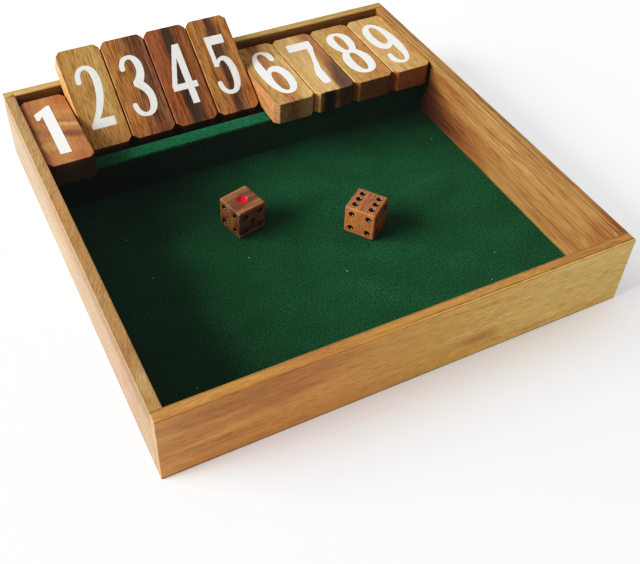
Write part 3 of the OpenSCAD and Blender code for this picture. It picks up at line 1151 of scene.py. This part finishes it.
# %% Model one die with its hollows
DIE_ROUND = 1.0 * MM
PIP_MARGIN = 4.1 * MM
SMALL_PIP = (3.4 * MM, 1.1 * MM)
BIG_PIP = (6.4 * MM, 1.4 * MM)
die_edge = box_size("left_die").z
pip_offset = die_edge / 2 - PIP_MARGIN
diagonal = [(-1, -1), (1, 1)]
corners = [(u, v) for u in (-1, 1) for v in (-1, 1)]
PIPS = {1: [(0, 0)], 2: diagonal, 3: [(-1, 1), (0, 0), (1, -1)], 4: corners, 5: corners + [(0, 0)],
        6: [(u, v) for u in (-1, 0, 1) for v in (-1, 1)]}
PIP_SIDES = {1: (0, "X"), 2: (-90, "X"), 3: (90, "Y"), 4: (-90, "Y"), 5: (90, "X"), 6: (180, "X")}


def pip_places(values):
    """The matrices that bring a pip on the upper face's middle to each of its places on the die."""
    return [
        Matrix.Rotation(math.radians(PIP_SIDES[value][0]), 4, PIP_SIDES[value][1])
        @ Matrix.Translation((u * pip_offset, v * pip_offset, 0))
        for value in values for u, v in PIPS[value]
    ]


def pip_ball(name, width, depth):
    """A ball that reaches a depth into the upper face, and is a width wide where it passes the face."""
    radius = (width * width / 4 + depth * depth) / (2 * depth)
    bpy.ops.object.select_all(action="DESELECT")
    bpy.ops.mesh.primitive_uv_sphere_add(
        segments=32, ring_count=24, radius=radius, location=(0, 0, die_edge / 2 + radius - depth)
    )
    return newest(name)


def spread(piece, places):
    """Copies the piece to each place, and joins the copies into one piece."""
    name = piece.name
    made = [put(copy_of(piece, name + "_copy"), place) for place in places]
    bpy.data.objects.remove(piece)
    bpy.ops.object.select_all(action="DESELECT")
    for copy in made:
        copy.select_set(True)
    bpy.context.view_layer.objects.active = made[0]
    if len(made) > 1:
        bpy.ops.object.join()
    made[0].name = name
    return made[0]


half = Vector((die_edge, die_edge, die_edge)) / 2
pattern_die = block("pattern_die", -half, half)
soften(pattern_die, DIE_ROUND, 4, lambda middle, direction: True)
cut_away(pattern_die, spread(pip_ball("small_pips", *SMALL_PIP), pip_places((2, 3, 4, 5, 6))))
cut_away(pattern_die, spread(pip_ball("big_pip", *BIG_PIP), pip_places((1,))))
smooth(pattern_die)
print("die:", len(pattern_die.data.polygons), "faces, edge", round(die_edge / MM, 2), "mm")

# %% Line the hollows with enamel
ENAMEL_RIM = 0.08 * MM
ENAMEL_SINK = 0.01 * MM
ENAMEL_T = 0.12 * MM


def enamel(name, width, depth, values):
    """Enamel in the hollows of some sides: the lower slice of the ball, thickened."""
    bowl = pip_ball(name, width, depth + ENAMEL_SINK)
    edit(bowl, "FACE")
    bpy.ops.mesh.select_all(action="SELECT")
    bpy.ops.mesh.bisect(plane_co=(0, 0, die_edge / 2 - ENAMEL_RIM), plane_no=(0, 0, 1), clear_outer=True)
    close(bowl)
    return smooth(spread(thicken(bowl, ENAMEL_T), pip_places(values)))


pattern_black = enamel("pattern_black", *SMALL_PIP, (2, 3, 4, 5, 6))
pattern_red = enamel("pattern_red", *BIG_PIP, (1,))
print("enamel:", len(pattern_black.data.polygons), "black and", len(pattern_red.data.polygons), "red faces")

# %% [markdown]
# The dice are stained a deeper brown than the tray, and dark bands of grain pass right through each cube,
# so a band on one side goes on across the edge. The enamels are nearly black and a clear red, both glossy.

# %% Set out and dress the dice
# Each die: its turn on the felt, and how far it is tumbled about its side to side axis, in degrees.
DICE = {"left_die": (14, 0), "right_die": (36, 180)}
COCOA = (0.14, 0.060, 0.030)
NUTMEG = (0.27, 0.120, 0.058)
COPPER = (0.30, 0.115, 0.045)
APRICOT = (0.34, 0.140, 0.052)
ENAMEL_BLACK = (0.006, 0.006, 0.007)
ENAMEL_RED = (0.55, 0.008, 0.018)


def die_finish(name, shift, ends, *browns):
    """A die's wood: bands of three browns through the whole cube, and a tint for its two ends."""
    finish = Finish(name)
    place = finish.moved(finish.board(), shift)
    band = finish.noise(finish.stretched(place, 40, 5, 7), 2)
    base = finish.ramp(band, *zip((0.36, 0.50, 0.64), browns))
    return lay_grain(
        finish, place, base, streaks=0.3, lines=0.6, pores=0.6, cuts=(ends, ends), roughness=0.38
    )


def enamel_finish(name, colour):
    """A glossy enamel with a slight unevenness."""
    finish = Finish(name)
    ripple = finish.noise(finish.stretched(finish.object_place(), 0.8, 0.8, 0.8), 2)
    lighter = finish.tinted(colour, (1.6, 1.6, 1.6))
    finish.set(
        Base_Color=finish.mix(ripple.step(0.4, 0.8) * 0.5, colour, lighter),
        Roughness=ripple * 0.08 + 0.08,
        Specular_IOR_Level=0.35,
        Normal=finish.bump(ripple, 0.04 * MM),
    )
    return finish


black_finish = enamel_finish("black_enamel", ENAMEL_BLACK)
red_finish = enamel_finish("red_enamel", ENAMEL_RED)
die_woods = {
    "left_die": die_finish("left_die_wood", (0, 0, 0), (0.62, 0.62, 0.50), COCOA, NUTMEG, NUTMEG),
    # The right die's ends are tinted lighter than its sides: painted light on the lit end that faces front
    # left.
    "right_die": die_finish("right_die_wood", (90, 17, 31), (1.12, 1.08, 0.95), NUTMEG, COPPER, APRICOT),
}
for node, (turn, tumble) in DICE.items():
    place = (
        Matrix.Translation(box_middle(node))
        @ Matrix.Rotation(math.radians(turn), 4, "Z")
        @ Matrix.Rotation(math.radians(tumble), 4, "X")
    )
    die = copy_of(pattern_die, node + "_cube")
    mark_board(die, lambda p: (p.x, p.y, p.z), Vector((1, 0, 0)))
    put(die, place)
    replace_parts(wear(die, die_woods[node]), node)
    black = put(copy_of(pattern_black, node + "_black_pips"), place)
    red = put(copy_of(pattern_red, node + "_red_pip"), place)
    wear(black, black_finish)
    wear(red, red_finish)
    for piece in (die, black, red):
        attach(piece, node)
for pattern in (pattern_die, pattern_black, pattern_red):
    bpy.data.objects.remove(pattern)
print("dice dressed:", sorted(DICE))

# %% [markdown]
# ## The pieces that stay as packed
# The floor board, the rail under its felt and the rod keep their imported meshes, because their shapes are
# already right and little of them shows. Their meshes carry no attribute, so their woods read the place in
# the whole part instead. The floor board is plain pale plywood, whose face grain runs from left to right.
# The rod is drawn steel, with fine lines along it.

# %% Dress the floor board, the rail and the rod
PLY_LIGHT = (0.58, 0.40, 0.22)
PLY_DARK = (0.45, 0.28, 0.13)
STEEL_DARK = (0.42, 0.42, 0.43)
STEEL_LIGHT = (0.62, 0.62, 0.62)
ply = Finish("pale_plywood")
place = ply.object_place()
sweep = ply.noise(ply.stretched(place, 120, 9, 9), 3)
ply_base = ply.ramp(sweep, (0.35, PLY_DARK), (0.65, PLY_LIGHT))
lay_grain(ply, place, ply_base, streaks=0.3, lines=0.3, pores=0.2, roughness=0.6)
steel = Finish("drawn_steel")
lines = steel.noise(steel.stretched(steel.object_place(), 30, 0.12, 0.12), 3)
steel.set(
    Base_Color=steel.ramp(lines, (0.3, STEEL_DARK), (0.7, STEEL_LIGHT)),
    Metallic=1,
    Roughness=lines * 0.25 + 0.22,
    Normal=steel.bump(lines, 0.01 * MM),
)
for node, finish in (("floor_board", ply), ("tile_rail", ply), ("tile_rod", steel)):
    wear(frame["nodes"][node], finish)
print("packed pieces dressed: floor_board, tile_rail, tile_rod")

# %% [markdown]
# ## Table and light
# The object stands on a bright white table top that is nearly overexposed, under soft daylight from the
# left and a little behind. One large softbox gives that light, and the pale sky of the world fills the
# shadows. A second lamp could lift the shaded walls, but it would also reach the felt. So the table top
# itself glows a little, least in front on the left and most behind on the right, and lights the walls
# from below.

# %% Set up the table and the lights
TABLE_W = 6
TABLE_WHITES = ((0.94, 0.93, 0.92), (0.96, 0.96, 0.96))
FRONT_GLOW = (0.13, 0.12, 0.11)
RIGHT_GLOW = (0.42, 0.42, 0.42)
WINDOW_PLACE = (-2.06, 0.51, 0.87)
WINDOW_SIZE = (1.9, 1.5)
WINDOW_WATTS = 130
SKY_COLOUR = (0.95, 0.97, 1.0)
SKY_STRENGTH = 0.46
bpy.ops.object.select_all(action="DESELECT")
bpy.ops.mesh.primitive_plane_add(size=TABLE_W)
table = newest("table_top")
table_finish = Finish("white_table")
table_place = table_finish.object_place()
mottle = table_finish.noise(table_finish.stretched(table_place, 60, 60, 60))
rightwards, backwards = table_finish.split(table_place)[:2]
table_finish.set(
    Base_Color=table_finish.mix(mottle, *TABLE_WHITES),
    Roughness=0.6,
    Specular_IOR_Level=0.2,
    Emission_Color=table_finish.mix((rightwards + backwards).step(-60, 100), FRONT_GLOW, RIGHT_GLOW),
    Emission_Strength=1,
)
wear(table, table_finish)


def softbox(name, place, size, watts):
    """An area light, with a width and a height, that faces the middle of the table."""
    place = Vector(place)
    bpy.ops.object.select_all(action="DESELECT")
    bpy.ops.object.light_add(type="AREA", location=place)
    light = bpy.context.active_object
    light.name = name
    light.rotation_euler = (-place).to_track_quat("-Z", "Y").to_euler()
    light.data.shape = "RECTANGLE"
    light.data.size, light.data.size_y = size
    light.data.energy = watts
    return light


window = softbox("window", WINDOW_PLACE, WINDOW_SIZE, WINDOW_WATTS)
world = bpy.data.worlds.new("sky")
bpy.context.scene.world = world
world.use_nodes = True
sky = world.node_tree.nodes["Background"]
sky.inputs["Color"].default_value = solid(SKY_COLOUR)
sky.inputs["Strength"].default_value = SKY_STRENGTH
print("lights:", window.name, "and the sky")

# %% [markdown]
# A camera does not record light evenly. It deepens the shadows a little and rolls the highlights off, so
# that a wall in full light keeps its grain. Blender's Standard view clips instead, so a tone curve goes
# before it, with the light in the scene along one axis, up to twice white, and the light in the picture
# along the other.

# %% Set the tone curve
TONE_WHITE = 2.0
TONE_BLACK = 0.003
TONES = [
    (0.02, 0.010), (0.05, 0.033), (0.10, 0.084), (0.20, 0.20), (0.38, 0.40), (0.60, 0.60), (0.83, 0.81),
    (1.0, 0.895), (1.3, 0.98),
]
view = bpy.context.scene.view_settings
view.view_transform = "Standard"
view.use_curve_mapping = True
view.curve_mapping.white_level = [TONE_WHITE] * 3
tone_curve = view.curve_mapping.curves[3]
tone_curve.points[0].location = (0, TONE_BLACK)
for light, shown in TONES:
    tone_curve.points.new(light / TONE_WHITE, shown)
view.curve_mapping.update()
print("tones:", [(round(p.location.x * TONE_WHITE, 2), round(p.location.y, 3)) for p in tone_curve.points])
